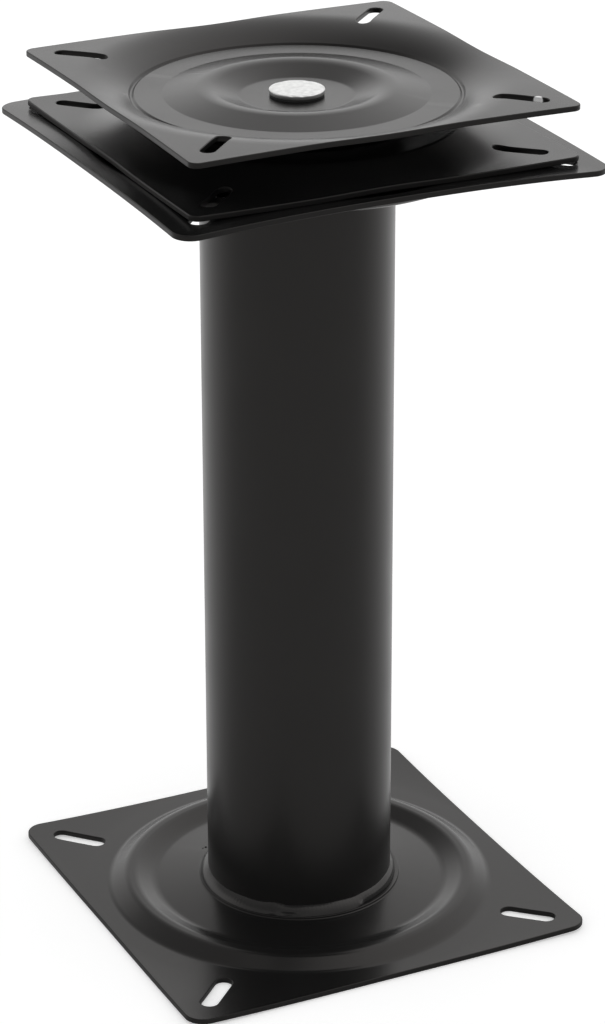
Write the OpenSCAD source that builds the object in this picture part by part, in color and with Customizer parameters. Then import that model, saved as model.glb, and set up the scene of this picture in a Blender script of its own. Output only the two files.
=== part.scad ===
// Swivel seat base: a pressed floor plate, a round post, a pressed head plate, and a
// two-plate seat swivel that turns on a ring of balls round a king rivet.
// The origin is at the centre of the floor plate's underside, +Z up, in millimetres.

/* [Pedestal] */
// Height from the floor to the top of the head plate
pedestal_h = 370; // [300:1:450]
// Side of the square floor and head plates
plate_w = 201; // [196:1:220]
// Thickness of the pressed floor and head plates
plate_t = 2.5; // [2.2:0.1:3]
// Radius of the plates' corners
plate_corner_r = 9; // [6:0.5:20]
// Outside diameter of the post
post_d = 86; // [80:0.5:90]
// Wall of the post
post_wall = 2.5; // [1.5:0.1:4]
// How far each end of the post stops short of the plate's outer face
post_recess = 1; // [0.5:0.1:2]

/* [Pedestal pressing] */
// Radial gap between the post and the neck, which the weld fills
neck_gap = 1.6; // [0.5:0.1:2]
// Height of the neck above the hub
neck_h = 4; // [2.2:0.1:5]
// Height of the hub's underside above the floor
hub_lift = 0.4; // [0.2:0.1:2]
// Width of the flat hub round the neck
hub_w = 6; // [4.5:0.5:8]
// Radius of the inner ridge
ridge_r = 70.8; // [69:0.2:71.5]
// Height of the inner ridge and of the ring above the rim
ring_h = 5; // [4:0.1:6]
// Radius of the groove between the ridge and the ring
groove_r = 75.2; // [74.6:0.2:76]
// Height of the groove's floor above the rim
groove_h = 1.6; // [1.2:0.1:2.4]
// Radius of the middle of the ring's flat crest
ring_r = 85.2; // [85:0.2:87]
// Width of the ring's flat crest
ring_crest_w = 3.6; // [3.5:0.1:5]
// Run of the ring's outer flank, seen from above
ring_flank_w = 6; // [6:0.1:8]

/* [Pedestal slots] */
// Width of the diagonal slots
plate_slot_w = 8; // [6:0.5:10]
// Length of the diagonal slots, end to end
plate_slot_l = 26; // [20:0.5:30]
// Distance from the plate's side to the middle of a slot
plate_slot_inset = 21; // [19:0.5:22]

/* [Welds] */
// Height of the weld bead on the post, above the neck
weld_h = 4.2; // [3:0.1:6]
// How far the bead bulges past a straight fillet
weld_bulge = 0.6; // [0.2:0.1:1]

/* [Swivel] */
// Height of the swivel, from the lower plate's rim to the upper plate's rim
swivel_h = 26; // [25:0.1:30]
// Side of the square swivel plates
swivel_w = 181; // [176:1:190]
// Thickness of the swivel plates
swivel_t = 2.5; // [2.2:0.1:3]
// Radius of the swivel plates' corners
swivel_corner_r = 4.5; // [3:0.5:10]
// Width of the diagonal slots in the swivel plates
swivel_slot_w = 6.5; // [6:0.5:9]
// Length of the diagonal slots in the swivel plates, end to end
swivel_slot_l = 24.5; // [20:0.5:30]
// Distance from the swivel plate's side to the middle of a slot
swivel_slot_inset = 19.5; // [18:0.5:21]

/* [Swivel pressing] */
// Radius of the sharp crease at the foot of the dish
crease_r = 72; // [70:0.2:74]
// Slope of the dish wall at the crease
dish_angle = 30; // [26:1:34]
// Radius of the dish's soft lip
lip_r = 44; // [30:1:48]
// Gap between the two plates at the flat annulus
annulus_gap = 6.6; // [5.8:0.1:7.6]
// Gap between the two plates at the centre discs
disc_gap = 3.6; // [3:0.1:4.2]
// Outward radius of the race ring's crest
race_crest_r = 18; // [14:0.5:22]
// Slope of the race ring's outer flank
race_outer_angle = 10; // [8:0.5:14]
// Slope of the race ring's inner flank
race_inner_angle = 18; // [15:0.5:22]

/* [Bearing] */
// Radius of the circle that the balls run on
race_r = 41; // [39:0.5:43]
// Diameter of the balls
ball_d = 12; // [11.6:0.1:12.4]
// Number of balls
ball_count = 12; // [8:1:16]
// Play between a ball and each race
ball_play = 0.05; // [0.03:0.01:0.1]
// Height of the cage ring
cage_h = 4; // [3:0.1:4.5]
// Radial width of the cage ring
cage_w = 16; // [14:0.5:17]
// Clearance between a ball and its pocket
pocket_play = 0.1; // [0.05:0.01:0.2]

/* [Pivot] */
// Diameter of the rivet's shank
shank_d = 12; // [10:0.5:13]
// Diameter of the rivet's head
rivet_head_d = 24.4; // [20:0.2:28]
// Thickness of the rivet's head
rivet_head_h = 2.1; // [1.6:0.1:3]
// Bevel round the rivet's head
rivet_bevel = 0.7; // [0.3:0.1:1]
// Diameter of the rivet's formed tail
tail_d = 18; // [17:0.5:22]
// Height of the rivet's formed tail
tail_h = 2.6; // [2:0.1:3]
// Thickness of the friction washer under the rivet's head
washer_t = 0.8; // [0.5:0.1:1.5]
// Thickness of the steel washer under the rivet's tail
tail_washer_t = 1.5; // [1:0.1:2]
// Outside diameter of the steel washer under the rivet's tail
tail_washer_d = 24; // [23:0.5:28]
// Wall of the bush's sleeve
bush_wall = 2; // [1.5:0.1:2.5]
// Outside diameter of the bush's flange
bush_flange_d = 23; // [20:0.5:25]
// Radial running clearance of the bush on the shank
bush_play = 0.05; // [0.02:0.01:0.1]
// Axial running gap at the washer and at the bush's flange
end_play = 0.1; // [0.05:0.01:0.2]

/* [Hidden] */
$fn = 96;
BALLS = [for (i = [1:ball_count]) str("ball_", i < 10 ? "0" : "", i)];

// Finishes
paint = [0.10, 0.10, 0.105];
zinc = [0.86, 0.86, 0.84];
nylon = [0.06, 0.06, 0.06];
acetal = [0.88, 0.87, 0.82];
steel = [0.70, 0.71, 0.73];

// Angle that one facet of a bend's arc turns through
bend_step = 3;
// Smallest bend that a press leaves in the sheet, on its inner side
crease_bend = 0.8;

// Pedestal pressing, from the post outwards
post_r = post_d / 2;
neck_inner_r = post_r + neck_gap;
neck_outer_r = neck_inner_r + plate_t;
hub_top = hub_lift + plate_t;
neck_top = hub_top + neck_h;
hub_outer_r = neck_outer_r + hub_w;
rim_top = plate_t;
ridge_top = rim_top + ring_h;
groove_floor = rim_top + groove_h;
ring_inner_r = ring_r - ring_crest_w / 2;
ring_outer_r = ring_r + ring_crest_w / 2;
ring_foot_r = ring_outer_r + ring_flank_w;
plate_reach = plate_w * 0.75;

// Swivel levels, measured from the swivel's middle plane
swivel_mid_z = pedestal_h + swivel_h / 2;
rim_level = swivel_h / 2;
annulus_level = annulus_gap / 2 + swivel_t;
disc_level = disc_gap / 2 + swivel_t;
crest_level = ball_d / 2 + ball_play + swivel_t;
swivel_reach = swivel_w * 0.75;

// Race ring of the swivel pressing: where its flanks leave the crest and where they end
race_centre_level = crest_level - race_crest_r;
race_half_turn = (race_outer_angle + race_inner_angle) / 2;
race_skew = (race_outer_angle - race_inner_angle) / 2;
race_apex_reach = race_crest_r / cos(race_half_turn);
race_apex_r = race_r + race_apex_reach * sin(race_skew);
race_apex_level = race_centre_level + race_apex_reach * cos(race_skew);
race_outer_foot_r = race_apex_r + (race_apex_level - annulus_level) / tan(race_outer_angle);
race_inner_foot_r = race_apex_r - (race_apex_level - disc_level) / tan(race_inner_angle);
lip_corner_r = crease_r + (rim_level - annulus_level) / tan(dish_angle);

// Pivot
shank_r = shank_d / 2;
bush_inner_r = shank_r + bush_play;
bush_outer_r = bush_inner_r + bush_wall;
upper_disc_top = swivel_mid_z + disc_level;
upper_disc_under = swivel_mid_z + disc_gap / 2;
lower_disc_top = swivel_mid_z - disc_gap / 2;
lower_disc_under = swivel_mid_z - disc_level;
washer_under = upper_disc_top + end_play;
head_under = washer_under + washer_t;
head_top = head_under + rivet_head_h;
tail_top = lower_disc_under - tail_washer_t;
tail_bottom = tail_top - tail_h;

// A bent sheet's section: a chain of [radius, height, bend radius] corners
function direction(a, b) = (b - a) / norm(b - a);
function heading(d) = atan2(d[1], d[0]);
function flat(corner) = [corner[0], corner[1]];

// Rounded corner b between a and c, as points [x, z, heading]
function bend(a, b, c, r) =
    let (d_in = direction(a, b))
    let (d_out = direction(b, c))
    let (h_in = heading(d_in))
    let (turn = heading(d_out) - h_in)
    let (side = sign(turn))
    let (start = b - d_in * r * tan(abs(turn) / 2))
    let (centre = start + side * r * [-d_in[1], d_in[0]])
    let (steps = max(2, ceil(abs(turn) / bend_step)))
    [for (i = [0:steps])
        let (h = h_in + turn * i / steps)
        [centre[0] + side * r * sin(h), centre[1] - side * r * cos(h), h]
    ];

function end_point(p, d) = [[p[0], p[1], heading(d)]];

function bent_path(corners) =
    let (p = [for (c = corners) flat(c)])
    let (last = len(p) - 1)
    concat(
        end_point(p[0], direction(p[0], p[1])),
        [for (i = [1:last - 1]) each bend(p[i - 1], p[i], p[i + 1], corners[i][2])],
        end_point(p[last], direction(p[last - 1], p[last]))
    );

// The sheet lies on the right-hand side of the path
function sheet_outline(path, t) =
    let (far_side = [for (q = path) [q[0] + t * sin(q[2]), q[1] - t * cos(q[2])]])
    let (last = len(path) - 1)
    concat(
        [for (q = path) [q[0], q[1]]],
        [for (i = [0:last]) far_side[last - i]]
    );

// Sheet of revolution that follows the corners
module pressed_sheet(corners, t) {
    rotate_extrude() polygon(sheet_outline(bent_path(corners), t));
}

// Square blank with round corners, tall enough to trim a pressing
module square_blank(w, corner_r, h) {
    translate([0, 0, -h / 2])
        linear_extrude(h)
            union() {
                square([w, w - 2 * corner_r], center = true);
                square([w - 2 * corner_r, w], center = true);
                for (x = [-1, 1], y = [-1, 1])
                    translate([x, y] * (w / 2 - corner_r)) circle(corner_r);
            }
}

// Four slots on the diagonals, centred at the same x and y
module diagonal_slots(centre, slot_l, slot_w, h) {
    for (a = [45:90:315])
        rotate(a)
            translate([centre * sqrt(2), 0, -h / 2])
                linear_extrude(h)
                    union() {
                        square([slot_l - slot_w, slot_w], center = true);
                        for (s = [-1, 1])
                            translate([s * (slot_l - slot_w) / 2, 0]) circle(d = slot_w);
                    }
}

// The floor plate as pressed, with its rim on the floor
module pedestal_pressing() {
    corners = [
        [neck_outer_r, neck_top, 0],
        [neck_outer_r, hub_top, crease_bend * 2],
        [hub_outer_r, hub_top, plate_t * 3],
        [ridge_r, ridge_top, plate_t * 1.5],
        [groove_r, groove_floor, crease_bend * 2],
        [ring_inner_r, ridge_top, plate_t * 2.5],
        [ring_outer_r, ridge_top, plate_t * 1.7],
        [ring_foot_r, rim_top, plate_t * 1.7],
        [plate_reach, rim_top, 0]
    ];
    blank_h = 4 * (ridge_top + plate_t);
    difference() {
        intersection() {
            pressed_sheet(corners, plate_t);
            square_blank(plate_w, plate_corner_r, blank_h);
        }
        diagonal_slots(plate_w / 2 - plate_slot_inset, plate_slot_l, plate_slot_w, blank_h);
    }
}

// A swivel plate as pressed, with the swivel's middle plane at z = 0 and its rim on top
module swivel_pressing(hole_r) {
    corners = [
        [hole_r, disc_level, 0],
        [race_inner_foot_r, disc_level, swivel_t * 2],
        [race_apex_r, race_apex_level, race_crest_r],
        [race_outer_foot_r, annulus_level, crease_bend],
        [crease_r, annulus_level, crease_bend],
        [lip_corner_r, rim_level, lip_r],
        [swivel_reach, rim_level, 0]
    ];
    blank_h = 4 * swivel_h;
    difference() {
        intersection() {
            pressed_sheet(corners, swivel_t);
            square_blank(swivel_w, swivel_corner_r, blank_h);
        }
        diagonal_slots(swivel_w / 2 - swivel_slot_inset, swivel_slot_l, swivel_slot_w, blank_h);
    }
}

// Floor end of the pedestal turned over to its head end
module at_head() {
    translate([0, 0, pedestal_h]) mirror([0, 0, 1]) children();
}

// Fillet bead that sits on the neck, fills the gap and climbs the post
module weld_bead() {
    toe = neck_top + weld_h;
    leg = neck_outer_r - post_r;
    chord = norm([leg, weld_h]);
    bow_r = (pow(chord / 2, 2) + pow(weld_bulge, 2)) / (2 * weld_bulge);
    half_sweep = asin(chord / 2 / bow_r);
    lean = atan2(weld_h, leg);
    middle = [post_r + leg / 2, neck_top + weld_h / 2];
    centre = middle - (bow_r - weld_bulge) * [sin(lean), cos(lean)];
    sweep_steps = 8;
    bow = [for (i = [1:sweep_steps - 1])
        let (a = 90 - lean - half_sweep + 2 * half_sweep * i / sweep_steps)
        centre + bow_r * [cos(a), sin(a)]
    ];
    root = [
        [post_r, toe],
        [post_r, hub_top],
        [neck_inner_r, hub_top],
        [neck_inner_r, neck_top],
        [neck_outer_r, neck_top]
    ];
    rotate_extrude() polygon(concat(root, bow));
}

// Flat ring
module ring(outer_r, inner_r, z, h) {
    translate([0, 0, z])
        difference() {
            cylinder(r = outer_r, h = h);
            translate([0, 0, -h]) cylinder(r = inner_r, h = 3 * h);
        }
}

module base_plate() {
    color(paint) pedestal_pressing();
}

module head_plate() {
    color(paint) at_head() pedestal_pressing();
}

module base_weld() {
    color(paint) weld_bead();
}

module head_weld() {
    color(paint) at_head() weld_bead();
}

module post_tube() {
    color(paint)
        ring(post_r, post_r - post_wall, post_recess, pedestal_h - 2 * post_recess);
}

module swivel_lower_plate() {
    color(paint)
        translate([0, 0, swivel_mid_z]) mirror([0, 0, 1]) swivel_pressing(shank_r);
}

module swivel_upper_plate() {
    color(paint)
        translate([0, 0, swivel_mid_z]) swivel_pressing(bush_outer_r);
}

// One ball, at its place on the race
module ball_at(i, r) {
    rotate(360 / ball_count * i)
        translate([race_r, 0, swivel_mid_z]) sphere(r);
}

// Ring with a round pocket for each ball
module ball_cage() {
    color(nylon)
        difference() {
            ring(race_r + cage_w / 2, race_r - cage_w / 2, swivel_mid_z - cage_h / 2, cage_h);
            for (i = [1:ball_count]) ball_at(i, ball_d / 2 + pocket_play);
        }
}

module ball(i) {
    color(steel) ball_at(i, ball_d / 2);
}

// King rivet: bevelled head, shank, and a tail formed into a low dome
module pivot_rivet() {
    head_r = rivet_head_d / 2;
    tail_r = tail_d / 2;
    outline = [
        [0, head_top],
        [head_r - rivet_bevel, head_top],
        [head_r, head_top - rivet_bevel],
        [head_r, head_under],
        [shank_r, head_under],
        [shank_r, tail_top],
        [tail_r, tail_top],
        [tail_r - tail_h / 4, tail_top - tail_h / 2],
        [tail_r - tail_h, tail_bottom],
        [0, tail_bottom]
    ];
    color(zinc) rotate_extrude() polygon(outline);
}

module rivet_washer() {
    color(nylon)
        ring(rivet_head_d / 2 - rivet_bevel / 2, shank_r, washer_under, washer_t);
}

// Flanged bush: its sleeve fills the upper plate's hole, its flange parts the two discs
module pivot_bush() {
    outline = [
        [bush_inner_r, lower_disc_top + end_play],
        [bush_flange_d / 2, lower_disc_top + end_play],
        [bush_flange_d / 2, upper_disc_under],
        [bush_outer_r, upper_disc_under],
        [bush_outer_r, upper_disc_top],
        [bush_inner_r, upper_disc_top]
    ];
    color(acetal) rotate_extrude() polygon(outline);
}

module tail_washer() {
    color(steel) ring(tail_washer_d / 2, shank_r, tail_top, tail_washer_t);
}

base_plate();
post_tube();
base_weld();
head_weld();
head_plate();
swivel_lower_plate();
swivel_upper_plate();
ball_cage();
pivot_rivet();
rivet_washer();
pivot_bush();
tail_washer();
for (i = [1:ball_count]) ball(i);
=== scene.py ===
"""Looks of the swivel seat base: pressed plates, post, welds, swivel and rivet.

Shapes are worked out in millimetres and turned into metres as each mesh is made.
"""
import math

import bpy
import numpy as np
from mathutils import Matrix, Vector
from mathutils.geometry import delaunay_2d_cdt


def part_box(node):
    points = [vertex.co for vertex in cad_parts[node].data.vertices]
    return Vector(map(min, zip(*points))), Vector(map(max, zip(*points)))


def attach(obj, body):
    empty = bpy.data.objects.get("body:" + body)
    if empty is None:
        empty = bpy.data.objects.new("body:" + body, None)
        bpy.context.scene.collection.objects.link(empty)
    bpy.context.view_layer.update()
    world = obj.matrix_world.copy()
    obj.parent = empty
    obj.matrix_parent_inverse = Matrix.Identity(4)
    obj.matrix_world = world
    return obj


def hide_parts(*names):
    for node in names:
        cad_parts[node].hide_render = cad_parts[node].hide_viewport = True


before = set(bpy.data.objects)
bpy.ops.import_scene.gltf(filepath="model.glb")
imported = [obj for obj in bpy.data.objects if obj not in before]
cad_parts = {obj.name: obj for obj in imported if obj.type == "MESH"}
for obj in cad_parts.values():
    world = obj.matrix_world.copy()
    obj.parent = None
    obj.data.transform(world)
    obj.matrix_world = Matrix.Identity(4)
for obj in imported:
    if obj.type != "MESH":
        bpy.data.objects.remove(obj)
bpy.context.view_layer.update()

MM = 0.001


def node_box(node):
    """Lowest and highest corner of a CAD node, in millimetres."""
    low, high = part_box(node)
    return np.array(low) / MM, np.array(high) / MM


# Sizes that come from the frame
base_low, base_high = node_box("base_plate")
head_high = node_box("head_plate")[1]
lower_low = node_box("swivel_lower_plate")[0]
upper_low, upper_high = node_box("swivel_upper_plate")
post_low, post_high = node_box("post_tube")
rivet_low, rivet_high = node_box("pivot_rivet")
washer_high = node_box("rivet_washer")[1]
tail_low = node_box("tail_washer")[0]
PLATE_W = base_high[0] - base_low[0]
SWIVEL_W = upper_high[0] - upper_low[0]
PEDESTAL_H = head_high[2]
SWIVEL_H = upper_high[2] - lower_low[2]
SWIVEL_MID = lower_low[2] + SWIVEL_H / 2
POST_R = (post_high[0] - post_low[0]) / 2

# Sizes of the sheet and its pressings
SHEET = 2.5
POST_WALL = 2.5
CREASE_BEND = 0.8
PLATE_CORNER_R = 9.0
PLATE_SLOT = {"inset": 21.0, "length": 26.0, "width": 8.0}
NECK_GAP = 1.6
HUB_TOP = 2.9
NECK_TOP = 6.9
HUB_W = 6.0
RIDGE_R = 70.8
RING_H = 5.0
GROOVE_R = 75.2
GROOVE_H = 1.6
RING_R = 85.2
RING_CREST_W = 3.6
RING_FLANK_W = 4.0
PAN_HIGH = 5.6
PAN_LOW = 3.6
VALLEY_R = 68.5
CREST_IN_R = 77.0
CREST_OUT_R = 81.5
FOOT_R = 89.5
NECK_R = POST_R + NECK_GAP + SHEET
WELD_H = 4.2
WELD_BULGE = 0.6

SWIVEL_CORNER_R = 4.5
SWIVEL_SLOT = {"inset": 19.5, "length": 24.5, "width": 6.5}
CREASE_R = 72.0
DISH_ANGLE = 30.0
LIP_R = 44.0
ANNULUS_GAP = 6.6
DISC_GAP = 3.6
RACE_R = 41.0
RACE_CREST_R = 18.0
RACE_OUTER_ANGLE = 10.0
RACE_INNER_ANGLE = 18.0
BALL_D = 12.0
BALL_PLAY = 0.05
SHANK_R = 6.0
TAIL_R = 9.0
BUSH_R = 8.05

# Painted glint: a bright spot on the wall of a slot in the upper plate, standing in for a highlight
SLOT_GLINT = (77.9, -73.3, 394.4)
SLOT_GLINT_R = 2.1

# Fine forms that the press and the paint leave
EDGE_R = 0.5
CREASE_DEPTH = 0.65
LIP = 0.4
SIDE_DRAW = 0.55
PEDESTAL_CORNER_LIFT = 1.4
HEAD_BOW = 1.5
BOW_FROM = 92.0
SWIVEL_CORNER_LIFT = -0.6
AROUND = 288
GRID = 2.5
SLIVER = 0.01
BEND_STEP = 2.8
FILLET_STEPS = 6


def tan(angle):
    return math.tan(math.radians(angle))


def sin(angle):
    return math.sin(math.radians(angle))


def cos(angle):
    return math.cos(math.radians(angle))


# Sections of bent sheet

def bend(a, b, c, radius):
    """Rounded corner b between a and c, as rows of r, z and heading in degrees."""
    into = (b - a) / np.linalg.norm(b - a)
    out = (c - b) / np.linalg.norm(c - b)
    start = math.degrees(math.atan2(into[1], into[0]))
    turn = math.degrees(math.atan2(out[1], out[0])) - start
    side = math.copysign(1.0, turn)
    first = b - into * radius * tan(abs(turn) / 2)
    centre = first + side * radius * np.array([-into[1], into[0]])
    count = max(2, math.ceil(abs(turn) / BEND_STEP))
    rows = []
    for i in range(count + 1):
        h = start + turn * i / count
        rows.append((centre[0] + side * radius * sin(h), centre[1] - side * radius * cos(h), h))
    return rows


def bent_path(corners):
    """Path of the sheet's face through corners of r, z and bend radius."""
    points = [np.array(c[:2], float) for c in corners]

    def end(at, a, b):
        return (at[0], at[1], math.degrees(math.atan2(b[1] - a[1], b[0] - a[0])))

    rows = [end(points[0], points[0], points[1])]
    for i in range(1, len(points) - 1):
        rows += bend(points[i - 1], points[i], points[i + 1], corners[i][2])
    rows.append(end(points[-1], points[-2], points[-1]))
    return np.array(rows)


def both_faces(path, thickness):
    """The near and the far face of the sheet, as rows of r, z, nr and nz."""
    h = np.radians(path[:, 2])
    nr, nz = -np.sin(h), np.cos(h)
    near = np.stack([path[:, 0], path[:, 1], nr, nz], 1)
    far = np.stack([path[:, 0] - thickness * nr, path[:, 1] - thickness * nz, -nr, -nz], 1)
    return near, far


def on_face(face, r):
    """Height and normal of a face at each radius."""
    order = np.argsort(face[:, 0], kind="stable")
    return [np.interp(r, face[order, 0], face[order, k]) for k in (1, 2, 3)]


# Mesh making

class Skin:
    """Vertices in millimetres with their normals, and faces."""

    def __init__(self):
        self.points = []
        self.normals = []
        self.faces = []
        self.count = 0
        self.first_edge = None

    def add(self, points, normals):
        points = np.asarray(points, float)
        self.points.append(points)
        self.normals.append(np.asarray(normals, float))
        first = self.count
        self.count += len(points)
        return np.arange(first, self.count)

    def bridge(self, a, b):
        """Quads between two rows of as many vertices."""
        n = len(a)
        for i in range(n):
            j = (i + 1) % n
            self.faces.append((int(a[i]), int(a[j]), int(b[j]), int(b[i])))

    def cap(self, row, centre, normal):
        """Closes a row of vertices with a fan; the row goes round its normal counter-clockwise."""
        middle = int(self.add([centre], [normal])[0])
        for i in range(len(row)):
            self.faces.append((middle, int(row[i]), int(row[(i + 1) % len(row)])))

    def piece(self, name, material, body, stands_for, move=None):
        """Makes the mesh object, rides it on its body and lets it stand for a node."""
        points = np.concatenate(self.points)
        normals = np.concatenate(self.normals)
        faces = self.faces
        if move is not None:
            points = points @ np.array(move.to_3x3()).T + np.array(move.translation)
            normals = normals @ np.array(move.to_3x3()).T
            if move.determinant() < 0:
                faces = [f[::-1] for f in faces]
        mesh = bpy.data.meshes.new(name)
        mesh.from_pydata((points * MM).tolist(), [], faces)
        mesh.polygons.foreach_set("use_smooth", [True] * len(mesh.polygons))
        mesh.update()
        length = np.linalg.norm(normals, axis=1, keepdims=True)
        mesh.normals_split_custom_set_from_vertices((normals / np.maximum(length, 1e-9)).tolist())
        mesh.materials.append(material)
        if self.first_edge is not None:
            mesh.materials.append(edge_paint)
            count = len(faces)
            mesh.polygons.foreach_set("material_index", [int(i >= self.first_edge) for i in range(count)])
        piece = bpy.data.objects.new(name, mesh)
        bpy.context.scene.collection.objects.link(piece)
        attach(piece, body)
        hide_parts(stands_for)
        return piece


def ring_points(r, z, count=AROUND):
    a = np.arange(count) * 2 * np.pi / count
    return np.stack([r * np.cos(a), r * np.sin(a), np.full(count, z)], 1)


def ring_normals(nr, nz, count=AROUND):
    a = np.arange(count) * 2 * np.pi / count
    return np.stack([nr * np.cos(a), nr * np.sin(a), np.full(count, nz)], 1)


def rounded_square(side, corner_r):
    """Outline of a square with round corners, counter-clockwise, with its normals."""
    half = side / 2 - corner_r
    along, round_steps = 40, 16
    points, normals = [], []
    for quarter in range(4):
        turn = Matrix.Rotation(quarter * math.pi / 2, 2)
        for i in range(round_steps + 1):
            a = i * 90 / round_steps
            normal = turn @ Vector((cos(a), sin(a)))
            points.append(turn @ Vector((half, half)) + corner_r * normal)
            normals.append(normal)
        for i in range(1, along):
            normal = turn @ Vector((0, 1))
            points.append(turn @ Vector((half - 2 * half * i / along, side / 2)))
            normals.append(normal)
    return np.array(points), np.array(normals)


def slot_outline(centre, length, width, turn, grow):
    """Outline of a slot, clockwise, with normals that point into the slot."""
    straight = (length - width) / 2
    radius = width / 2 + grow
    arc_steps, line_steps = 14, 6
    points, normals = [], []
    for end in (1, -1):
        for i in range(arc_steps + 1):
            a = -90 + 180 * i / arc_steps
            normal = end * np.array([cos(a), sin(a)])
            points.append(np.array([end * straight, 0]) + radius * normal)
            normals.append(-normal)
        for i in range(1, line_steps):
            x = end * straight * (1 - 2 * i / line_steps)
            points.append(np.array([x, end * radius]))
            normals.append(np.array([0, -end]))
    spin = np.array([[cos(turn), -sin(turn)], [sin(turn), cos(turn)]])
    points = np.array(points) @ spin.T + centre
    normals = np.array(normals) @ spin.T
    return points[::-1], normals[::-1]


def draw_in(points, side, start):
    """Pulls the middle of each side inwards, as pressing does, from `start` outwards."""
    out = points.copy()
    half = side / 2
    for axis in (0, 1):
        other = points[:, 1 - axis]
        share = np.clip((np.abs(points[:, axis]) - start) / (half - start), 0, 1)
        bow = np.clip(1 - (other / (half * 0.92)) ** 2, 0, 1)
        out[:, axis] -= np.sign(points[:, axis]) * SIDE_DRAW * share * bow
    return out


def corner_bend(r, side, most):
    """How far the press has bent the corners, and the slope of that, at each radius."""
    reach = side / 2 * (math.sqrt(2) - 1)
    share = np.clip((r - side / 2) / reach, 0, None)
    return most * share ** 1.5, 1.5 * most * share ** 0.5 / reach


def side_bow(points, side, depth):
    """How far the -Y side bows towards the far face, and its slopes along x and y."""
    half = side / 2
    share = np.clip((-points[:, 1] - BOW_FROM) / (half - BOW_FROM), 0, 1)
    along = np.clip(1 - (points[:, 0] / (0.9 * half)) ** 2, 0, 1)
    slope_y = -depth * along * np.where(share > 0, 1.5 * share ** 0.5, 0) / (half - BOW_FROM)
    slope_x = -depth * share ** 1.5 * np.where(along > 0, 2 * points[:, 0], 0) / (0.9 * half) ** 2
    return depth * share ** 1.5 * along, slope_x, slope_y


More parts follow.
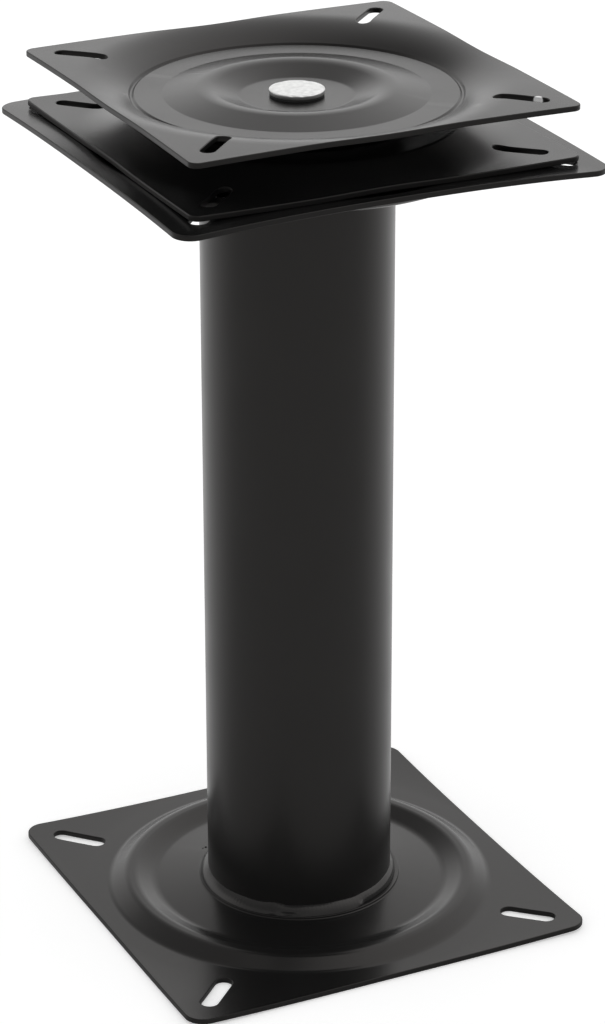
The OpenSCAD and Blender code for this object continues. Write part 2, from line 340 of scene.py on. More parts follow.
def pressed_plate(corners, side, corner_r, slot, seam_r, corner_lift, near_corners=None,
                  bow=0.0):
    """Skin of a pressed square plate with rolled edges and four diagonal slots.

    Inside seam_r it is a body of revolution; outside, both faces follow the same section
    over a triangulated square.
    """
    skin = Skin()
    near, far = both_faces(bent_path(corners), SHEET)
    if near_corners:
        near = both_faces(bent_path(near_corners), SHEET)[0]

    def inside(face):
        rows = face[face[:, 0] < seam_r - 0.05]
        z, nr, nz = on_face(face, seam_r)
        return np.vstack([rows, [seam_r, z, nr, nz]])

    near_rows, far_rows = inside(near), inside(far)
    start_way = corners_heading(corners)
    into = -np.array([cos(start_way), sin(start_way)])
    rolled = []
    for face in (near_rows, far_rows):
        face[0, :2] -= LIP * into
        centre = face[0, :2] - LIP * face[0, 2:]
        arc = []
        for i in range(1, FILLET_STEPS + 1):
            a = 90 * i / FILLET_STEPS
            way = sin(a) * into + cos(a) * face[0, 2:]
            arc.append([*(centre + LIP * way), *way])
        rolled += arc if face is near_rows else arc[::-1]
    chain = np.vstack([near_rows[::-1], np.array(rolled), far_rows])
    loops = [skin.add(ring_points(r, z), ring_normals(nr, nz)) for r, z, nr, nz in chain]
    for a, b in zip(loops, loops[1:]):
        skin.bridge(a, b)
    near_seam, far_seam = loops[0], loops[-1]

    # Plan of the outer part: seam circle, rolled outline, rolled slots, and rings between
    outline, outline_n = rounded_square(side, corner_r)
    inset = outline - outline_n * EDGE_R
    plan = [ring_points(seam_r, 0)[:, :2], inset]
    plan_n = [None, outline_n]
    centre = side / 2 - slot["inset"]
    for quarter in range(4):
        turn = 45 + 90 * quarter
        at = centre * math.sqrt(2) * np.array([cos(turn), sin(turn)])
        points, normals = slot_outline(at, slot["length"], slot["width"], turn, EDGE_R)
        plan.append(points)
        plan_n.append(normals)
    extra = []
    for r in np.arange(seam_r + 1.5, side * 0.7, GRID):
        for a in np.arange(0, 360, GRID):
            p = r * np.array([cos(a), sin(a)])
            if np.max(np.abs(p)) > side / 2 - EDGE_R - 1.0:
                continue
            q = np.abs(np.abs(p) - (side / 2 - corner_r))
            if np.min(np.abs(p)) > side / 2 - corner_r and np.linalg.norm(q) > corner_r - 1.6:
                continue
            d = np.abs(p) - centre
            along, across = (d[0] + d[1]) / math.sqrt(2), abs(d[0] - d[1]) / math.sqrt(2)
            reach = max(0, abs(along) - (slot["length"] - slot["width"]) / 2)
            if math.hypot(reach, across) > slot["width"] / 2 + EDGE_R + 1.0:
                extra.append(p)
    plan.append(np.array(extra))
    flat = np.vstack(plan)
    edges, owner, start = [], np.full(len(flat), -1), 0
    for k, loop in enumerate(plan[:-1]):
        n = len(loop)
        edges += [(start + i, start + (i + 1) % n) for i in range(n)]
        owner[start:start + n] = k
        start += n
    made = delaunay_2d_cdt([Vector(p) for p in flat], edges, [], 0, 1e-5, True)
    back = np.array([ids[0] for ids in made[3]])
    triangles = []
    for f in made[2]:
        t = back[list(f)]
        k = owner[t]
        if k[0] >= 0 and k[0] != 1 and k[0] == k[1] == k[2]:
            continue
        a, b, c = flat[t]
        area = ((b - a)[0] * (c - a)[1] - (b - a)[1] * (c - a)[0]) / 2
        if abs(area) < SLIVER:
            continue
        if area < 0:
            t = t[::-1]
        triangles.append(t)

    drawn = draw_in(flat, side, seam_r)
    seam_count = len(plan[0])

    def sheet_face(face, seam_loop, flip):
        r = np.linalg.norm(drawn, axis=1)
        z, nr, nz = on_face(face, r)
        raised, slope = corner_bend(r, side, corner_lift)
        sunk, slope_x, slope_y = side_bow(drawn, side, bow)
        z = z + raised - sunk
        nr = nr - slope * nz
        outward = drawn / r[:, None] * nr[:, None]
        points = np.column_stack([drawn, z])
        normals = np.column_stack([outward[:, 0] + slope_x * nz, outward[:, 1] + slope_y * nz, nz])
        ids = np.concatenate([seam_loop, skin.add(points[seam_count:], normals[seam_count:])])
        for t in triangles:
            tri = [int(ids[i]) for i in t]
            skin.faces.append(tuple(tri[::-1] if flip else tri))
        return ids, points

    near_ids, near_points = sheet_face(near, near_seam, False)
    far_ids, far_points = sheet_face(far, far_seam, True)

    # Rolled edges round the outline and the slots
    skin.first_edge = len(skin.faces)
    start = seam_count
    for k, loop in enumerate(plan[1:-1]):
        n = len(loop)
        rows = np.arange(start, start + n)
        start += n
        xy = drawn[rows]
        tangent = np.roll(xy, -1, 0) - np.roll(xy, 1, 0)
        if k > 0:
            tangent = -tangent
        out = np.column_stack([tangent[:, 1], -tangent[:, 0]])
        out /= np.linalg.norm(out, axis=1, keepdims=True)
        if k > 0:
            out = plan_n[k + 1]
        top, bottom = near_points[rows][:, 2], far_points[rows][:, 2]
        previous = near_ids[rows]
        for a, level in edge_rows():
            reach = EDGE_R * sin(a)
            z = (top - EDGE_R * (1 - cos(a))) if level > 0 else (bottom + EDGE_R * (1 - cos(a)))
            points = np.column_stack([xy + out * reach, z])
            normals = np.column_stack([out * sin(a), np.full(n, level * cos(a))])
            row = skin.add(points, normals)
            skin.bridge(row, previous)
            previous = row
        skin.bridge(far_ids[rows], previous)
    return skin


def corners_heading(corners):
    a, b = corners[0], corners[1]
    return math.degrees(math.atan2(b[1] - a[1], b[0] - a[0]))


def edge_rows():
    """Rows of a rolled edge, from just off the near face to just off the far one."""
    rows = [(90 * i / FILLET_STEPS, 1) for i in range(1, FILLET_STEPS + 1)]
    rows += [(90 * i / FILLET_STEPS, -1) for i in range(FILLET_STEPS, 0, -1)]
    return rows


# Materials

def new_material(name, colour):
    material = bpy.data.materials.new(name)
    material.use_nodes = True
    material.diffuse_color = (*colour[:3], 1)
    return material


class Graph:
    """Short ways to add and join shader nodes."""

    def __init__(self, material):
        self.tree = material.node_tree
        self.shader = self.tree.nodes["Principled BSDF"]
        self.place = self.add("ShaderNodeTexCoord").outputs["Object"]

    def add(self, kind, **inputs):
        node = self.tree.nodes.new(kind)
        for name, value in inputs.items():
            self.set(node, name.replace("_", " "), value)
        return node

    def set(self, node, name, value):
        socket = node.inputs[name]
        if isinstance(value, bpy.types.NodeSocket):
            self.tree.links.new(value, socket)
        else:
            socket.default_value = value

    def noise(self, scale, detail):
        node = self.add("ShaderNodeTexNoise", Scale=scale, Detail=detail, Roughness=0.5)
        self.tree.links.new(self.place, node.inputs["Vector"])
        return node.outputs["Fac"]

    def fit(self, value, low, high, to_low, to_high):
        node = self.add("ShaderNodeMapRange")
        self.tree.links.new(value, node.inputs["Value"])
        for name, number in (("From Min", low), ("From Max", high), ("To Min", to_low), ("To Max", to_high)):
            node.inputs[name].default_value = number
        return node.outputs["Result"]

    def math(self, operation, a, b):
        node = self.add("ShaderNodeMath")
        node.operation = operation
        for socket, value in zip(node.inputs, (a, b)):
            if isinstance(value, bpy.types.NodeSocket):
                self.tree.links.new(value, socket)
            else:
                socket.default_value = value
        return node.outputs[0]

    def mix(self, factor, a, b):
        node = self.add("ShaderNodeMix")
        node.data_type = "RGBA"
        for index, value in ((0, factor), (6, a), (7, b)):
            if isinstance(value, bpy.types.NodeSocket):
                self.tree.links.new(value, node.inputs[index])
            else:
                node.inputs[index].default_value = value
        return node.outputs[2]

    def bump(self, height, strength, distance, under=None):
        node = self.add("ShaderNodeBump")
        node.inputs["Strength"].default_value = strength
        node.inputs["Distance"].default_value = distance
        self.tree.links.new(height, node.inputs["Height"])
        if under is not None:
            self.tree.links.new(under, node.inputs["Normal"])
        return node.outputs["Normal"]

    def sharp_edges(self, low, high):
        """Share of 0 to 1 that rises on sharp outer edges."""
        point = self.add("ShaderNodeNewGeometry").outputs["Pointiness"]
        return self.fit(point, low, high, 0.0, 1.0)


def grey(level):
    return (level, level, level, 1.0)


# Tint of the coat's shine
WARM = (1.0, 0.95, 0.92, 1.0)
EDGE_SPECULAR = 0.34


def paint(name, colour, smooth, rough, peel):
    """Black powder coat: fine orange peel, slightly uneven gloss, lighter on sharp edges, partly as a thinner
    coat and partly as a painted sheen.
    """
    material = new_material(name, colour)
    g = Graph(material)
    patches = g.noise(28.0, 3.0)
    edges = g.sharp_edges(0.52, 0.60)
    thin_coat_and_sheen = tuple(2.2 * c for c in colour[:3]) + (1.0,)
    tone = g.mix(g.fit(patches, 0.3, 0.7, 0.0, 1.0), colour, tuple(1.25 * c for c in colour[:3]) + (1,))
    # Sharp edges lighter in colour: partly a thinner coat, partly a painted sheen standing in for the edge
    # highlights
    g.set(g.shader, "Base Color", g.mix(g.math("MULTIPLY", edges, 0.5), tone, thin_coat_and_sheen))
    gloss = g.fit(patches, 0.3, 0.7, smooth, rough)
    g.set(g.shader, "Roughness", g.math("SUBTRACT", gloss, g.math("MULTIPLY", edges, 0.04)))
    fine = g.bump(g.noise(1500.0, 2.0), peel, 0.00004)
    g.set(g.shader, "Normal", g.bump(g.noise(260.0, 2.0), peel * 0.6, 0.00008, fine))
    g.set(g.shader, "IOR", 1.5)
    g.set(g.shader, "Specular Tint", WARM)
    return material


def painted_glint(material, at, radius):
    """Painted glint: a bright, half-metallic spot on the wall of a slot, standing in for a highlight."""
    g = Graph(material)
    colour = g.shader.inputs["Base Color"].links[0].from_socket
    away = g.add("ShaderNodeVectorMath")
    away.operation = "DISTANCE"
    g.tree.links.new(g.place, away.inputs[0])
    away.inputs[1].default_value = at
    glint = g.fit(away.outputs["Value"], 0.85 * radius, 1.1 * radius, 1.0, 0.0)
    g.set(g.shader, "Base Color", g.mix(glint, colour, grey(0.92)))
    g.set(g.shader, "Metallic", g.math("MULTIPLY", glint, 0.5))


def metal(name, colour, smooth, rough, dent_scale, dent_depth):
    """Bare or plated metal with soft dents and uneven gloss."""
    material = new_material(name, colour)
    g = Graph(material)
    cloud = g.noise(420.0, 3.0)
    dull = tuple(0.86 * c for c in colour[:3]) + (1.0,)
    g.set(g.shader, "Base Color", g.mix(g.fit(cloud, 0.35, 0.65, 0.0, 1.0), colour, dull))
    g.set(g.shader, "Roughness", g.fit(cloud, 0.35, 0.65, smooth, rough))
    g.set(g.shader, "Metallic", 1.0)
    g.set(g.shader, "Normal", g.bump(g.noise(dent_scale, 2.0), 0.6, dent_depth))
    return material


def plastic(name, colour, rough, grain):
    """Moulded plastic with a fine grain."""
    material = new_material(name, colour)
    g = Graph(material)
    cloud = g.noise(90.0, 3.0)
    g.set(g.shader, "Base Color", g.mix(cloud, colour, tuple(1.3 * c for c in colour[:3]) + (1.0,)))
    g.set(g.shader, "Roughness", g.fit(cloud, 0.3, 0.7, rough, rough + 0.12))
    g.set(g.shader, "Normal", g.bump(g.noise(1800.0, 2.0), grain, 0.00005))
    return material


plate_paint = paint("plate_paint", grey(0.0065), 0.22, 0.27, 0.20)
upper_paint = paint("upper_paint", grey(0.0065), 0.22, 0.27, 0.20)
post_paint = paint("post_paint", grey(0.0060), 0.28, 0.33, 0.20)
weld_paint = paint("weld_paint", grey(0.014), 0.20, 0.27, 0.25)
edge_paint = paint("edge_paint", grey(0.0060), 0.30, 0.36, 0.25)
edge_shader = edge_paint.node_tree.nodes["Principled BSDF"]
edge_shader.inputs["Specular IOR Level"].default_value = EDGE_SPECULAR
# Both coats get a painted glint: a bright spot on a slot wall of the upper plate, standing in for a highlight
for coat in (edge_paint, upper_paint):
    painted_glint(coat, tuple(v * MM for v in SLOT_GLINT), SLOT_GLINT_R * MM)
zinc = metal("zinc_plate", (0.87, 0.87, 0.86, 1.0), 0.30, 0.40, 220.0, 0.00008)
ball_steel = metal("polished_ball_steel", (0.62, 0.63, 0.65, 1.0), 0.08, 0.16, 700.0, 0.00002)
dull_steel = metal("dull_steel", (0.45, 0.46, 0.47, 1.0), 0.35, 0.50, 500.0, 0.0001)
nylon = plastic("moulded_nylon", grey(0.02), 0.45, 0.3)
acetal = plastic("moulded_acetal", (0.80, 0.79, 0.74, 1.0), 0.35, 0.2)


# Pedestal

def head_corners():
    """Section of the head plate: neck, hub, ridge, groove and ring."""
    ridge_top = SHEET + RING_H
    return [
        (NECK_R, NECK_TOP, 0),
        (NECK_R, HUB_TOP, 2 * CREASE_BEND),
        (NECK_R + HUB_W, HUB_TOP, 3 * SHEET),
        (RIDGE_R, ridge_top, 1.5 * SHEET),
        (GROOVE_R, SHEET + GROOVE_H, 2 * CREASE_BEND),
        (RING_R - RING_CREST_W / 2, ridge_top, 2.5 * SHEET),
        (RING_R + RING_CREST_W / 2, ridge_top, 1.7 * SHEET),
        (RING_R + RING_CREST_W / 2 + RING_FLANK_W, SHEET, 1.7 * SHEET),
        (0.75 * PLATE_W, SHEET, 0),
    ]


def floor_corners():
    """Section of the floor plate: neck, pan, and one rounded ring."""
    return [
        (NECK_R, NECK_TOP, 0),
        (NECK_R, PAN_HIGH, 0.6),
        (VALLEY_R, PAN_LOW, 8.0),
        (CREST_IN_R, SHEET + RING_H, 6.0),
        (CREST_OUT_R, SHEET + RING_H, 6.0),
        (FOOT_R, SHEET, 5.0),
        (0.75 * PLATE_W, SHEET, 0),
    ]


def swivel_corners(hole_r):
    rim = SWIVEL_H / 2
    annulus = ANNULUS_GAP / 2 + SHEET
    disc = DISC_GAP / 2 + SHEET
    crest = BALL_D / 2 + BALL_PLAY + SHEET
    half_turn = (RACE_OUTER_ANGLE + RACE_INNER_ANGLE) / 2
    skew = (RACE_OUTER_ANGLE - RACE_INNER_ANGLE) / 2
    reach = RACE_CREST_R / cos(half_turn)
    apex_r = RACE_R + reach * sin(skew)
    apex_z = crest - RACE_CREST_R + reach * cos(skew)
    return [
        (hole_r, disc, 0),
        (apex_r - (apex_z - disc) / tan(RACE_INNER_ANGLE), disc, 2 * SHEET),
        (apex_r, apex_z, RACE_CREST_R),
        (apex_r + (apex_z - annulus) / tan(RACE_OUTER_ANGLE), annulus, CREASE_BEND),
        (CREASE_R, annulus, CREASE_BEND),
        (CREASE_R + (rim - annulus) / tan(DISH_ANGLE), rim, LIP_R),
        (0.75 * SWIVEL_W, rim, 0),
    ]


PEDESTAL_SEAM_R = 93.5
SWIVEL_SEAM_R = 86.0
TURNED_OVER = Matrix.Scale(-1, 4, (0, 0, 1))


def at_height(z, turned_over=False):
    lift = Matrix.Translation((0, 0, z))
    return lift @ TURNED_OVER if turned_over else lift


def coined(corners):
    """The same section with a fine groove coined along the foot of the dish."""
    at = next(i for i, c in enumerate(corners) if c[0] == CREASE_R)
    level = corners[at][1]
    groove = [(CREASE_R - 1.7, level, 0.4), (CREASE_R - 0.7, level - CREASE_DEPTH, 0.3),
              (CREASE_R, level - CREASE_DEPTH, 0.3), (CREASE_R + 0.75, level + 0.42, 0.3)]
    return corners[:at] + groove + corners[at + 1:]


def make_plates():
    pressing = pressed_plate(floor_corners(), PLATE_W, PLATE_CORNER_R, PLATE_SLOT, PEDESTAL_SEAM_R,
                             PEDESTAL_CORNER_LIFT)
    pressing.piece("floor_plate", plate_paint, "pedestal", "base_plate", at_height(0))
    bowed = pressed_plate(head_corners(), PLATE_W, PLATE_CORNER_R, PLATE_SLOT, PEDESTAL_SEAM_R,
                          PEDESTAL_CORNER_LIFT, bow=HEAD_BOW)
    bowed.piece("top_plate", plate_paint, "pedestal", "head_plate", at_height(PEDESTAL_H, True))
    lower = pressed_plate(swivel_corners(SHANK_R), SWIVEL_W, SWIVEL_CORNER_R, SWIVEL_SLOT, SWIVEL_SEAM_R,
                          SWIVEL_CORNER_LIFT, coined(swivel_corners(SHANK_R)))
    lower.piece("lower_swivel", plate_paint, "pedestal", "swivel_lower_plate", at_height(SWIVEL_MID, True))
    upper = pressed_plate(swivel_corners(BUSH_R), SWIVEL_W, SWIVEL_CORNER_R, SWIVEL_SLOT, SWIVEL_SEAM_R,
                          SWIVEL_CORNER_LIFT, coined(swivel_corners(BUSH_R)))
    upper.piece("upper_swivel", upper_paint, "seat_plate", "swivel_upper_plate", at_height(SWIVEL_MID))


def turned(rows):
    """Skin of a closed section turned round the axis, from rows of r, z, nr and nz."""
    skin = Skin()
    loops = [skin.add(ring_points(r, z), ring_normals(nr, nz)) for r, z, nr, nz in rows]
    for a, b in zip(loops, loops[1:] + loops[:1]):
        skin.bridge(a, b)
    return skin


def rounded_ring_rows(inner, outer, low, high, radius):
    """Rows of a ring's rectangular section with round corners, counter-clockwise."""
    rows = []
    for at_r, at_z, start in ((outer - radius, low + radius, -90), (outer - radius, high - radius, 0),
                              (inner + radius, high - radius, 90), (inner + radius, low + radius, 180)):
        for i in range(FILLET_STEPS + 1):
            a = start + 90 * i / FILLET_STEPS
            rows.append((at_r + radius * cos(a), at_z + radius * sin(a), cos(a), sin(a)))
    return rows


def make_post():
    rows = rounded_ring_rows(POST_R - POST_WALL, POST_R, post_low[2], post_high[2], 0.4)
    turned(rows).piece("post", post_paint, "pedestal", "post_tube")


def spun(section, count):
    """Points of a section that changes on its way round, by angle and by place along it."""
    angles = np.arange(count) * 360 / count
    shape = np.array([section(a) for a in angles])
    c, s = np.cos(np.radians(angles))[:, None], np.sin(np.radians(angles))[:, None]
    return np.stack([shape[..., 0] * c, shape[..., 0] * s, shape[..., 1]], 2)


def lathe(section, count):
    """Skin of a closed section that changes on its way round.

    section(angle) gives as many points of r and z at every angle, counter-clockwise.
    """
    points = spun(section, count)
    along = np.roll(points, -1, 0) - np.roll(points, 1, 0)
    across = np.roll(points, -1, 1) - np.roll(points, 1, 1)
    normals = np.cross(along, across)
    skin = Skin()
    loops = [skin.add(points[:, j], normals[:, j]) for j in range(points.shape[1])]
    for a, b in zip(loops, loops[1:] + loops[:1]):
        skin.bridge(a, b)
    return skin


def near_angle(a, centre, width):
    """1 at the centre angle, falling softly to 0 beyond the width."""
    off = (a - centre + 180) % 360 - 180
    return math.exp(-(off / width) ** 2)


def between_angles(a, start, end, soft):
    """1 from start to end, with soft shoulders."""
    middle, half = (start + end) / 2, (end - start) / 2
    off = abs((a - middle + 180) % 360 - 180)
    return 1 / (1 + math.exp((off - half) / soft))


WELD_POINTS = 22
WELD_AROUND = 720
UPPER_WELD_TURN = 140
CRATER_AT = 238.0
CRATER_LIP_AT = 229.5
RESTART_AT = 282.5
NARROW_FROM = 284.0
NARROW_TO = 352.0


def weld_section(a):
    """Root and bow of the bead at an angle.

    It waves, overlaps where it starts, and thins out on one side.
    """
    narrow = between_angles(a, NARROW_FROM, NARROW_TO, 1.2)
    wave = 0.10 * math.sin(math.radians(7 * a + 40)) + 0.07 * math.sin(math.radians(17 * a + 200))
    ripple = 0.022 * math.sin(math.radians(150 * a))
    foot_r = NECK_R - 0.25 + 0.4 * wave - 1.75 * narrow
    foot_z = NECK_TOP - 0.05
    toe_z = NECK_TOP + WELD_H + wave + 0.7 * near_angle(a, CRATER_LIP_AT, 6.0) + 0.25 * narrow
    leg, rise = foot_r - POST_R, toe_z - foot_z
    lean = math.atan2(rise, leg)
    out = np.array([math.sin(lean), math.cos(lean)])
    rows = []
    for i in range(WELD_POINTS + 1):
        v = i / WELD_POINTS
        bulge = (WELD_BULGE + 0.25 * narrow) * math.sin(math.pi * v) ** 0.8 + ripple * math.sin(math.pi * v)
        bulge -= 0.75 * near_angle(a, CRATER_AT, 5.5) * math.exp(-((v - 0.24) / 0.13) ** 2)
        bulge += 0.35 * near_angle(a, CRATER_LIP_AT, 3.0) * math.exp(-((v - 0.22) / 0.16) ** 2)
        bulge += 0.45 * near_angle(a, RESTART_AT, 1.8) * math.exp(-((v - 0.15) / 0.2) ** 2)
        rows.append(np.array([foot_r - leg * v, foot_z + rise * v]) + bulge * out)
    root = [(POST_R - 0.3, toe_z), (POST_R - 0.3, HUB_TOP),
            (NECK_R - SHEET, HUB_TOP), (NECK_R - SHEET, foot_z)]
    return rows + root


SPATTER = ((49.3, 125.6, 0.45), (50.4, 126.8, 0.62), (51.2, 128.4, 0.40))


def add_drop(skin, r, turn, radius):
    """Low drop of spatter on the pan."""
    level = PAN_HIGH + (PAN_LOW - PAN_HIGH) * (r - NECK_R) / (VALLEY_R - NECK_R)
    middle = np.array([r * cos(turn), r * sin(turn), level - 0.2 * radius])
    loops = []
    for low in (0, 22, 45, 67):
        way = np.array([(cos(low) * cos(a), cos(low) * sin(a), sin(low)) for a in range(0, 360, 30)])
        loops.append(skin.add(middle + radius * way, way))
    for a, b in zip(loops, loops[1:]):
        skin.bridge(a, b)
    skin.cap(loops[-1], middle + np.array([0, 0, radius]), (0, 0, 1))


def make_welds():
    bead = lathe(weld_section, WELD_AROUND)
    for r, turn, radius in SPATTER:
        add_drop(bead, r, turn, radius)
    bead.piece("lower_bead", weld_paint, "pedestal", "base_weld")
    upper = lathe(lambda a: weld_section(a + UPPER_WELD_TURN), WELD_AROUND)
    upper.piece("upper_bead", weld_paint, "pedestal", "head_weld", at_height(PEDESTAL_H, True))


RIVET_AROUND = 144
DENTS = ((233.0, 5.0, 0.34), (256.0, 4.0, 0.30), (278.0, 6.0, 0.16), (196.0, 6.0, 0.14), (40.0, 7.0, 0.16),
         (100.0, 9.0, 0.12), (150.0, 5.0, 0.15), (330.0, 6.0, 0.14))


def rivet_section(a):
    """The rivet from the middle of its top, down its side and shank, to the middle of its tail."""
    top, under, tail_top, tail = rivet_high[2], washer_high[2], tail_low[2], rivet_low[2]
    head_r = (rivet_high[0] - rivet_low[0]) / 2
    dent = sum(depth * near_angle(a, at, width) for at, width, depth in DENTS)
    soft = 0.45
    rows = [(0.25 * head_r, top), (0.55 * head_r, top), (0.80 * head_r, top - 0.02), (head_r - 2.1, top - 0.03)]
    rows += [(head_r - 1.2 - dent, top - 0.05), (head_r - soft - 0.25 - dent, top - 0.08 - 0.5 * dent)]
    for i in range(FILLET_STEPS + 1):
        t = 90 - 90 * i / FILLET_STEPS
        rows.append((head_r - soft + soft * cos(t) - dent * (1 - i / FILLET_STEPS),
                     top - 0.1 - soft + soft * sin(t) - 0.7 * dent * (1 - i / FILLET_STEPS)))
    rows += [(head_r - 0.02, under + 0.9), (head_r - 0.12, under + 0.25), (head_r - 0.35, under)]
    rows += [(SHANK_R + 0.1, under), (SHANK_R, under - 0.1), (SHANK_R, tail_top + 0.1), (SHANK_R + 0.1, tail_top)]
    rows += [(TAIL_R - 0.2, tail_top), (TAIL_R, tail_top - 0.3), (TAIL_R - 0.4, tail_top - 1.2)]
    rows += [(TAIL_R - 1.4, tail + 0.4), (TAIL_R - 3.2, tail), (0.2 * TAIL_R, tail)]
    return rows[::-1]


def make_rivet():
    skin = Skin()
    points = spun(rivet_section, RIVET_AROUND)
    along = np.roll(points, -1, 0) - np.roll(points, 1, 0)
    before = np.concatenate([points[:, :1], points[:, :-1]], 1)
    after = np.concatenate([points[:, 1:], points[:, -1:]], 1)
    normals = np.cross(along, after - before)
    loops = [skin.add(points[:, j], normals[:, j]) for j in range(points.shape[1])]
    for a, b in zip(loops, loops[1:]):
        skin.bridge(a, b)
    skin.cap(loops[-1], (0, 0, rivet_high[2]), (0, 0, 1))
    skin.cap(loops[0][::-1], (0, 0, rivet_low[2]), (0, 0, -1))
    skin.piece("king_rivet", zinc, "pedestal", "pivot_rivet")


# Studio

VIEW_TURN = 25.749
CAMERA_SIDE = 0.385
CAMERA_BACK = 1519.60
CAMERA_UP = 855.01
CAMERA_YAW = 0.0602
CAMERA_PITCH = 23.616
CAMERA_ROLL = -0.133
FOCAL_PIXELS = 3659.0
PICTURE_H = 1024
FILM = 36.0


def make_camera():
    """Camera where the photograph was taken from."""
    forward = Vector((sin(CAMERA_YAW) * cos(CAMERA_PITCH), cos(CAMERA_YAW) * cos(CAMERA_PITCH),
                      -sin(CAMERA_PITCH)))
    level = Vector((cos(CAMERA_YAW), -sin(CAMERA_YAW), 0))
    above = level.cross(forward)
    right = cos(CAMERA_ROLL) * level + sin(CAMERA_ROLL) * above
    up = cos(CAMERA_ROLL) * above - sin(CAMERA_ROLL) * level
    stand = Matrix((right, up, -forward)).transposed().to_4x4()
    stand.translation = Vector((CAMERA_SIDE, -CAMERA_BACK, CAMERA_UP)) * MM
    data = bpy.data.cameras.new("camera")
    data.sensor_width = FILM
    data.lens = FOCAL_PIXELS * FILM / PICTURE_H
    camera = bpy.data.objects.new("camera", data)
    camera.matrix_world = Matrix.Rotation(math.radians(-VIEW_TURN), 4, "Z") @ stand
    bpy.context.scene.collection.objects.link(camera)
    bpy.context.scene.camera = camera


AWAY = (sin(VIEW_TURN), cos(VIEW_TURN), 0.0)
RIGHT = (cos(VIEW_TURN), -sin(VIEW_TURN), 0.0)


def facing(tree, way, side, low, high, to_low, to_high):
    """How far a direction points to a side of the studio, fitted to a range."""
    dot = tree.nodes.new("ShaderNodeVectorMath")
    dot.operation = "DOT_PRODUCT"
    tree.links.new(way, dot.inputs[0])
    dot.inputs[1].default_value = side
    fit = tree.nodes.new("ShaderNodeMapRange")
    tree.links.new(dot.outputs["Value"], fit.inputs["Value"])
    for name, number in (("From Min", low), ("From Max", high), ("To Min", to_low), ("To Max", to_high)):
        fit.inputs[name].default_value = number
    return fit.outputs["Result"]


def seen_rays(tree):
    """1 for camera, glossy and transmission rays, else 0."""
    path = tree.nodes.new("ShaderNodeLightPath")
    first = tree.nodes.new("ShaderNodeMath")
    first.operation = "MAXIMUM"
    tree.links.new(path.outputs["Is Camera Ray"], first.inputs[0])
    tree.links.new(path.outputs["Is Glossy Ray"], first.inputs[1])
    both = tree.nodes.new("ShaderNodeMath")
    both.operation = "MAXIMUM"
    tree.links.new(first.outputs[0], both.inputs[0])
    tree.links.new(path.outputs["Is Transmission Ray"], both.inputs[1])
    return both.outputs[0]


FRONT_LEVEL = 0.42


def make_world():
    world = bpy.data.worlds.new("studio")
    world.use_nodes = True
    bpy.context.scene.world = world
    tree = world.node_tree
    background = tree.nodes["Background"]
    background.inputs["Color"].default_value = grey(1.0)
    strength = tree.nodes.new("ShaderNodeMapRange")
    tree.links.new(seen_rays(tree), strength.inputs["Value"])
    strength.inputs["To Min"].default_value = 0.8

    # The camera sees plain white. Reflections don't: they see a pale horizon behind the
    # object, a soft box high on the right and a dim front, fixed in the world and set for
    # the photo's view
    way = tree.nodes.new("ShaderNodeTexCoord").outputs["Generated"]
    high = facing(tree, way, RIGHT, -0.35, 0.30, 0.34, 1.12)
    horizon = facing(tree, way, (0.0, 0.0, 1.0), 0.42, 0.60, 1.0, 0.0)
    sky = tree.nodes.new("ShaderNodeMix")
    tree.links.new(horizon, sky.inputs[0])
    tree.links.new(high, sky.inputs[2])
    tree.links.new(facing(tree, way, AWAY, 0.80, 0.92, 0.90, 1.12), sky.inputs[3])
    shaded = tree.nodes.new("ShaderNodeMath")
    shaded.operation = "MULTIPLY"
    tree.links.new(sky.outputs[0], shaded.inputs[0])
    tree.links.new(facing(tree, way, AWAY, -0.6, 0.1, FRONT_LEVEL, 1.0), shaded.inputs[1])
    glossy = tree.nodes.new("ShaderNodeMix")
    glossy.inputs[2].default_value = 1.0
    tree.links.new(tree.nodes.new("ShaderNodeLightPath").outputs["Is Glossy Ray"], glossy.inputs[0])
    tree.links.new(shaded.outputs[0], glossy.inputs[3])
    tree.links.new(glossy.outputs[0], strength.inputs["To Max"])
    tree.links.new(strength.outputs["Result"], background.inputs["Strength"])


def flat_sheet(name, size, z):
    mesh = bpy.data.meshes.new(name)
    half = size / 2
    corners = [(-half, -half, z), (half, -half, z), (half, half, z), (-half, half, z)]
    mesh.from_pydata(corners, [], [(0, 1, 2, 3)])
    sheet = bpy.data.objects.new(name, mesh)
    bpy.context.scene.collection.objects.link(sheet)
    return sheet


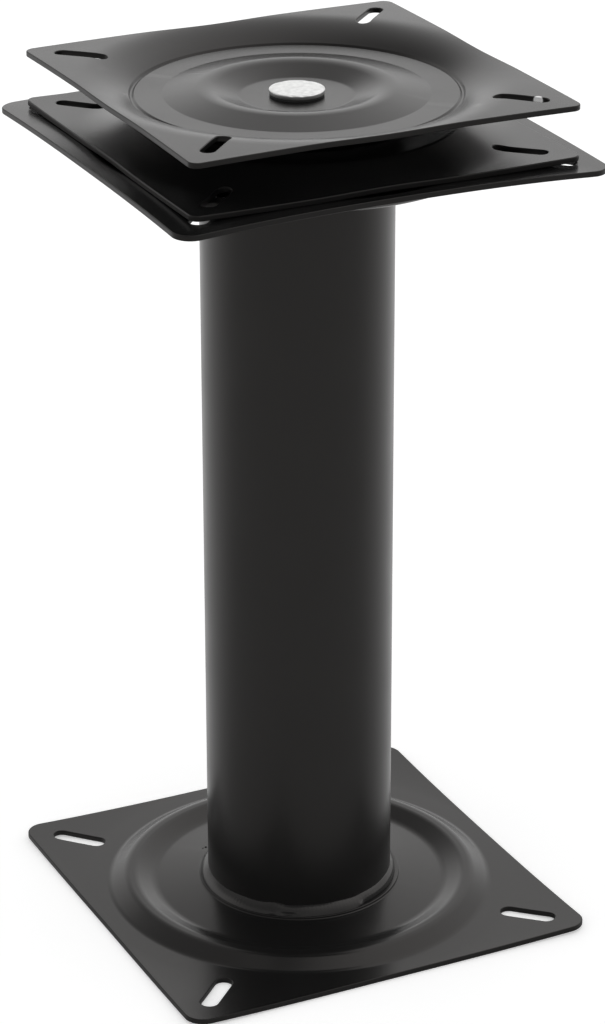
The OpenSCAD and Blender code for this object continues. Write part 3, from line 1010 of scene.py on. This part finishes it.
def make_floor():
    """Pale floor that keeps the shadow, and a grey card over it that only reflections see."""
    floor = flat_sheet("floor", 12.0, -0.0002)
    material = bpy.data.materials.new("floor")
    material.use_nodes = True
    tree = material.node_tree
    tree.nodes.clear()
    diffuse = tree.nodes.new("ShaderNodeBsdfDiffuse")
    diffuse.inputs["Color"].default_value = grey(0.90)
    lift = tree.nodes.new("ShaderNodeEmission")
    lift.inputs["Color"].default_value = grey(1.0)
    strength = tree.nodes.new("ShaderNodeMath")
    strength.operation = "MULTIPLY"
    tree.links.new(seen_rays(tree), strength.inputs[0])
    strength.inputs[1].default_value = 0.38
    tree.links.new(strength.outputs[0], lift.inputs["Strength"])
    both = tree.nodes.new("ShaderNodeAddShader")
    tree.links.new(diffuse.outputs[0], both.inputs[0])
    tree.links.new(lift.outputs[0], both.inputs[1])
    output = tree.nodes.new("ShaderNodeOutputMaterial")
    tree.links.new(both.outputs[0], output.inputs["Surface"])
    floor.data.materials.append(material)

    card = flat_sheet("grey_card", 10.0, -0.0001)
    card_material = bpy.data.materials.new("grey_card")
    card_material.use_nodes = True
    tree = card_material.node_tree
    shader = tree.nodes["Principled BSDF"]
    way = tree.nodes.new("ShaderNodeVectorMath")
    way.operation = "NORMALIZE"
    tree.links.new(tree.nodes.new("ShaderNodeTexCoord").outputs["Object"], way.inputs[0])
    # Painted light seen only in reflections: the card is darker towards the front and lighter, with a glow,
    # towards the back
    tree.links.new(facing(tree, way.outputs[0], AWAY, -0.2, 1.0, 0.56, 0.92), shader.inputs["Base Color"])
    shader.inputs["Emission Color"].default_value = grey(1.0)
    tree.links.new(facing(tree, way.outputs[0], AWAY, -0.2, 1.0, 0.0, 0.30), shader.inputs["Emission Strength"])
    shader.inputs["Roughness"].default_value = 1.0
    shader.inputs["Specular IOR Level"].default_value = 0.0
    card.data.materials.append(card_material)
    card.visible_camera = False
    card.visible_diffuse = False
    card.visible_shadow = False
    card.visible_transmission = False


make_plates()
make_post()
make_welds()
make_rivet()
for name, material in (("rivet_washer", nylon), ("pivot_bush", acetal), ("tail_washer", dull_steel),
                       ("ball_cage", nylon)):
    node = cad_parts[name]
    node.data.materials.clear()
    node.data.materials.append(material)
for name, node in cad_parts.items():
    if name.startswith("ball_") and name != "ball_cage":
        node.data.materials.clear()
        node.data.materials.append(ball_steel)
make_world()
make_floor()
make_camera()
scene = bpy.context.scene
scene.view_settings.view_transform = "Standard"
